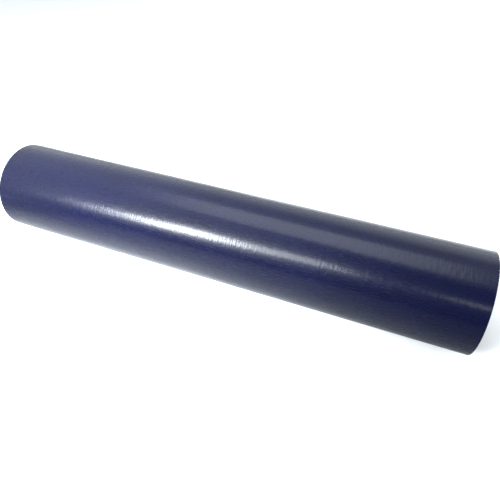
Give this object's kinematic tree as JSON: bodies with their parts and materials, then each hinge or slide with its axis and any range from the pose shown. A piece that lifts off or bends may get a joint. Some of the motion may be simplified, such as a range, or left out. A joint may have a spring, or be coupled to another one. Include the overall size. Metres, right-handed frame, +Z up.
{
  "type": "roll of sign vinyl",
  "caption": "Roll of glossy navy self-adhesive sign vinyl with release liner, wound face out on a paperboard core, its taped tail free to lift and peel.",
  "frame": {"origin": "centre of the core's bore, half way along the roll", "axes": "+X along the roll's axis, +Z up, +Y to the back, where the tail lies"},
  "size_m": [0.61, 0.1169, 0.117],
  "materials": {
    "navy_vinyl": "gloss calendered vinyl film",
    "release_liner": "silicone-coated kraft paper",
    "core_board": "grey-brown chipboard",
    "core_paper": "smooth kraft paper",
    "label_paper": "matt label paper",
    "clear_tape": "transfer tape",
    "crepe_tape": "creped masking paper"
  },
  "bodies": {
    "roll": {"core_inner_ply": "core_paper", "core_body_plies": "core_board", "core_outer_ply": "core_paper", "core_label": "label_paper", "core_start_tape": "clear_tape", "wound_turns": "navy_vinyl", "outer_turn_liner": "release_liner", "outer_turn_film": "navy_vinyl"},
    "tail": {"tail_liner": "release_liner", "tail_film_root": "navy_vinyl"},
    "peel": {"tail_film": "navy_vinyl"},
    "left_tape": {"tape_left": "crepe_tape"},
    "middle_tape": {"tape_middle": "crepe_tape"},
    "right_tape": {"tape_right": "crepe_tape"}
  },
  "joints": [
    {"name": "tail_lift", "type": "hinge", "parent": "roll", "child": "tail", "pos_m": [0, 0.05066, 0.02925], "axis": [1, 0, 0], "range_deg": [0, 70], "stiffness_Nm_per_rad": 0.02},
    {"name": "film_peel", "type": "hinge", "parent": "tail", "child": "peel", "pos_m": [0, 0.05676, 0.01415], "axis": [1, 0, 0], "range_deg": [0, 80], "stiffness_Nm_per_rad": 0.003},
    {"name": "left_tape_peel", "type": "hinge", "parent": "peel", "child": "left_tape", "pos_m": [0, 0.05841, -0.00564], "axis": [1, 0, 0], "range_deg": [0, 110]},
    {"name": "middle_tape_peel", "type": "hinge", "parent": "peel", "child": "middle_tape", "pos_m": [0, 0.05841, -0.00564], "axis": [1, 0, 0], "range_deg": [0, 110]},
    {"name": "right_tape_peel", "type": "hinge", "parent": "peel", "child": "right_tape", "pos_m": [0, 0.05841, -0.00564], "axis": [1, 0, 0], "range_deg": [0, 110]}
  ]
}
